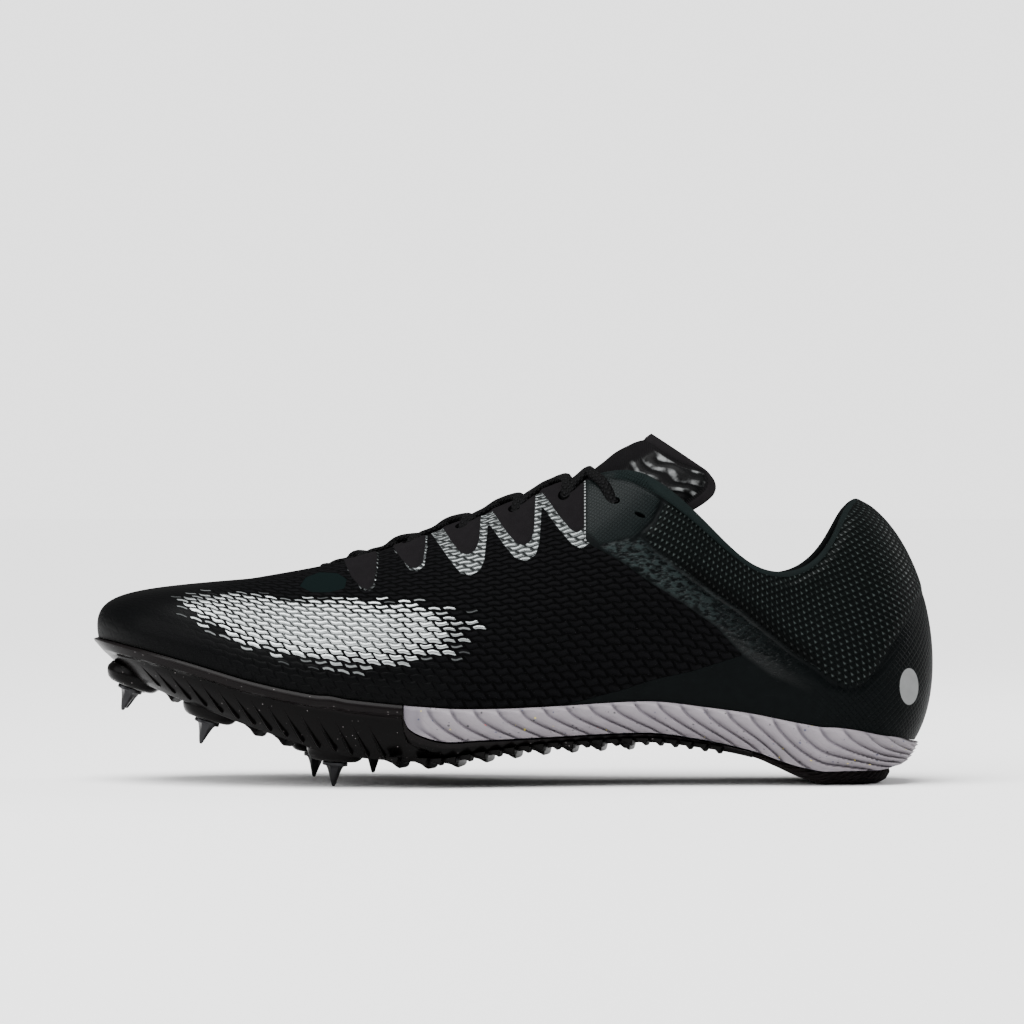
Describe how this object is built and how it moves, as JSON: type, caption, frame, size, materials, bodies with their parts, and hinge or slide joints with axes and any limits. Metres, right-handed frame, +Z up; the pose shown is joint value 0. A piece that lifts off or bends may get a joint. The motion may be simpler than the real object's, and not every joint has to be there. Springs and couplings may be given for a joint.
{
  "type": "track spike shoe",
  "caption": "Low laced running shoe for the track, with a stiff spiked forefoot plate, a ribbed foam midsole, a padded heel collar and a tall tongue.",
  "frame": {"origin": "middle of the shoe's bounding box, on the floor it stands on", "axes": "+Z up; the heel points to +X and the toe to -X; the lateral (outer) side of this left shoe faces -Y and the medial side +Y"},
  "size_m": [0.2868, 0.0982, 0.1187],
  "materials": {
    "plate_plastic": "satin black with fine specks",
    "midsole_foam": "matte lilac grey foam with dark specks",
    "heel_rubber": "matte",
    "upper_knit": "black knit under satin film",
    "insole_cloth": "matte",
    "tongue_cloth": "matte",
    "lace_cord": "matte braid",
    "spike_steel": "black"
  },
  "bodies": {
    "root": {"outsole_plate": "plate_plastic", "midsole": "midsole_foam", "heel_pad": "heel_rubber", "upper": "upper_knit", "insole": "insole_cloth", "tongue": "tongue_cloth", "lace": "lace_cord", "spike_toe_lateral": "spike_steel", "spike_toe_medial": "spike_steel", "spike_fore_lateral": "spike_steel", "spike_fore_medial": "spike_steel", "spike_ball_medial": "spike_steel", "spike_ball_lateral": "spike_steel", "spike_ball_rear": "spike_steel"}
  },
  "joints": []
}
